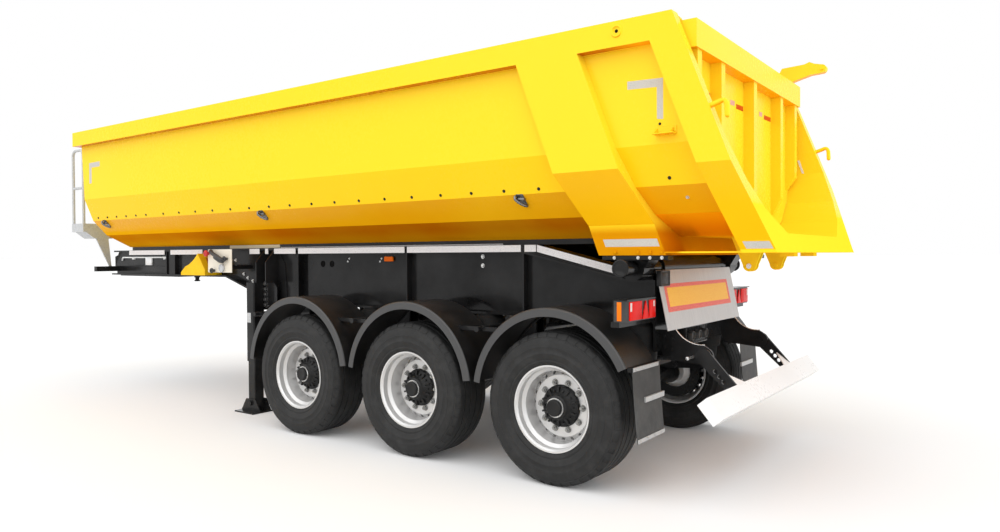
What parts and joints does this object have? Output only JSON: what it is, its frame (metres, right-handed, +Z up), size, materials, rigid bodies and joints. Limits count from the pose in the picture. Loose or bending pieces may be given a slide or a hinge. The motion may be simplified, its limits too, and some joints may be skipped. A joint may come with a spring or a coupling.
{
  "type": "tipper semi-trailer",
  "caption": "Half-round tipping tub on a gooseneck semi-trailer chassis, with air-sprung axles, landing legs, swinging tailgate, folding underrun bar and front telescopic cylinder",
  "frame": {"origin": "on the ground, in the middle of the overall length and width", "axes": "+X along the trailer from the coupling end to the tailgate, +Y across, away from the side with the service platform, +Z up"},
  "size_m": [8.67, 2.55, 3.195],
  "materials": {
    "tub_paint": "bright yellow gloss paint",
    "chassis_paint": "black gloss paint",
    "white_paint": "white gloss paint",
    "wheel_silver": "silver paint",
    "galvanised": "galvanised steel",
    "steel": "bare machined steel",
    "aluminium": "plain aluminium sheet",
    "lamp": "clear coloured lens",
    "plastic": "dark grey moulded plastic",
    "yellow_plastic": "yellow moulded plastic",
    "rubber": "black rubber",
    "tyre": "black road tyre rubber"
  },
  "bodies": {
    "chassis": {"main_beams": "chassis_paint", "crossmembers": "chassis_paint", "coupling_plate": "chassis_paint", "kingpin": "chassis_paint", "landing_legs": "chassis_paint", "landing_feet": "chassis_paint", "axle_beams": "chassis_paint", "suspension_hangers": "chassis_paint", "trailing_arms": "chassis_paint", "shock_absorbers": "chassis_paint", "air_springs": "rubber", "mudguards_left": "plastic", "mudguards_right": "plastic", "mudguard_stays": "chassis_paint", "mud_flaps": "rubber", "tail_lamps": "lamp", "lamp_carriers": "chassis_paint", "sign_board": "aluminium", "pivot_bearings": "chassis_paint", "underrun_brackets": "chassis_paint", "air_tanks": "chassis_paint", "control_panel": "white_paint", "wheel_chocks": "yellow_plastic", "platform": "galvanised", "cylinder_cradle": "chassis_paint"},
    "tub": {"tub_trough": "tub_paint", "tub_walls": "tub_paint", "tub_front": "tub_paint", "top_rails": "tub_paint", "side_ribs": "tub_paint", "rear_posts": "tub_paint", "tub_sills": "tub_paint", "floor_runners": "chassis_paint", "hinge_ears": "chassis_paint", "lock_lugs": "tub_paint", "cylinder_bracket": "tub_paint", "gate_arm": "tub_paint"},
    "tailgate": {"tailgate_plate": "tub_paint", "tailgate_frame": "tub_paint"},
    "underrun": {"underrun_arms": "chassis_paint", "underrun_bar": "white_paint"},
    "ram_barrel": {"ram_barrel": "chassis_paint"},
    "ram_stage_1": {"ram_stage_1": "steel"},
    "ram_stage_2": {"ram_stage_2": "steel"},
    "ram_stage_3": {"ram_stage_3": "steel"},
    "ram_stage_4": {"ram_stage_4": "steel"},
    "ram_stage_5": {"ram_stage_5": "steel"},
    "wheel_left_1": {"tyre_left_1": "tyre", "wheel_left_1": "wheel_silver"},
    "wheel_left_2": {"tyre_left_2": "tyre", "wheel_left_2": "wheel_silver"},
    "wheel_left_3": {"tyre_left_3": "tyre", "wheel_left_3": "wheel_silver"},
    "wheel_right_1": {"tyre_right_1": "tyre", "wheel_right_1": "wheel_silver"},
    "wheel_right_2": {"tyre_right_2": "tyre", "wheel_right_2": "wheel_silver"},
    "wheel_right_3": {"tyre_right_3": "tyre", "wheel_right_3": "wheel_silver"}
  },
  "joints": [
    {"name": "tub_tilt", "type": "hinge", "parent": "chassis", "child": "tub", "pos_m": [3.345, 0, 1.478], "axis": [0, 1, 0], "range_deg": [0, 45]},
    {"name": "tailgate_swing", "type": "hinge", "parent": "tub", "child": "tailgate", "pos_m": [3.745, 0, 2.985], "axis": [0, -1, 0], "range_deg": [0, 60]},
    {"name": "underrun_fold", "type": "hinge", "parent": "chassis", "child": "underrun", "pos_m": [3.73, 0, 0.88], "axis": [0, 1, 0], "range_deg": [-80, 0]},
    {"name": "ram_lean", "type": "hinge", "parent": "chassis", "child": "ram_barrel", "pos_m": [-4.062, 0, 1.45], "axis": [0, 1, 0], "range_deg": [0, 26.96]},
    {"name": "ram_slide_1", "type": "slide", "parent": "ram_barrel", "child": "ram_stage_1", "axis": [0, 0, 1], "range_m": [0, 1.1159]},
    {"name": "ram_slide_2", "type": "slide", "parent": "ram_stage_1", "child": "ram_stage_2", "axis": [0, 0, 1], "range_m": [0, 1.1159]},
    {"name": "ram_slide_3", "type": "slide", "parent": "ram_stage_2", "child": "ram_stage_3", "axis": [0, 0, 1], "range_m": [0, 1.1159]},
    {"name": "ram_slide_4", "type": "slide", "parent": "ram_stage_3", "child": "ram_stage_4", "axis": [0, 0, 1], "range_m": [0, 1.1159]},
    {"name": "ram_slide_5", "type": "slide", "parent": "ram_stage_4", "child": "ram_stage_5", "axis": [0, 0, 1], "range_m": [0, 1.1159]},
    {"name": "wheel_left_1_spin", "type": "hinge", "parent": "chassis", "child": "wheel_left_1", "pos_m": [0.255, -1.045, 0.525], "axis": [0, 1, 0], "continuous": true},
    {"name": "wheel_left_2_spin", "type": "hinge", "parent": "chassis", "child": "wheel_left_2", "pos_m": [1.565, -1.045, 0.525], "axis": [0, 1, 0], "continuous": true},
    {"name": "wheel_left_3_spin", "type": "hinge", "parent": "chassis", "child": "wheel_left_3", "pos_m": [2.875, -1.045, 0.525], "axis": [0, 1, 0], "continuous": true},
    {"name": "wheel_right_1_spin", "type": "hinge", "parent": "chassis", "child": "wheel_right_1", "pos_m": [0.255, 1.045, 0.525], "axis": [0, 1, 0], "continuous": true},
    {"name": "wheel_right_2_spin", "type": "hinge", "parent": "chassis", "child": "wheel_right_2", "pos_m": [1.565, 1.045, 0.525], "axis": [0, 1, 0], "continuous": true},
    {"name": "wheel_right_3_spin", "type": "hinge", "parent": "chassis", "child": "wheel_right_3", "pos_m": [2.875, 1.045, 0.525], "axis": [0, 1, 0], "continuous": true}
  ],
  "couplings": [
    {"joint": "ram_lean", "follows": "tub_tilt", "ratio": 0.59897},
    {"joint": "ram_slide_1", "follows": "tub_tilt", "m_per_rad": 1.4202},
    {"joint": "ram_slide_2", "follows": "tub_tilt", "m_per_rad": 1.4202},
    {"joint": "ram_slide_3", "follows": "tub_tilt", "m_per_rad": 1.4202},
    {"joint": "ram_slide_4", "follows": "tub_tilt", "m_per_rad": 1.4202},
    {"joint": "ram_slide_5", "follows": "tub_tilt", "m_per_rad": 1.4202}
  ]
}
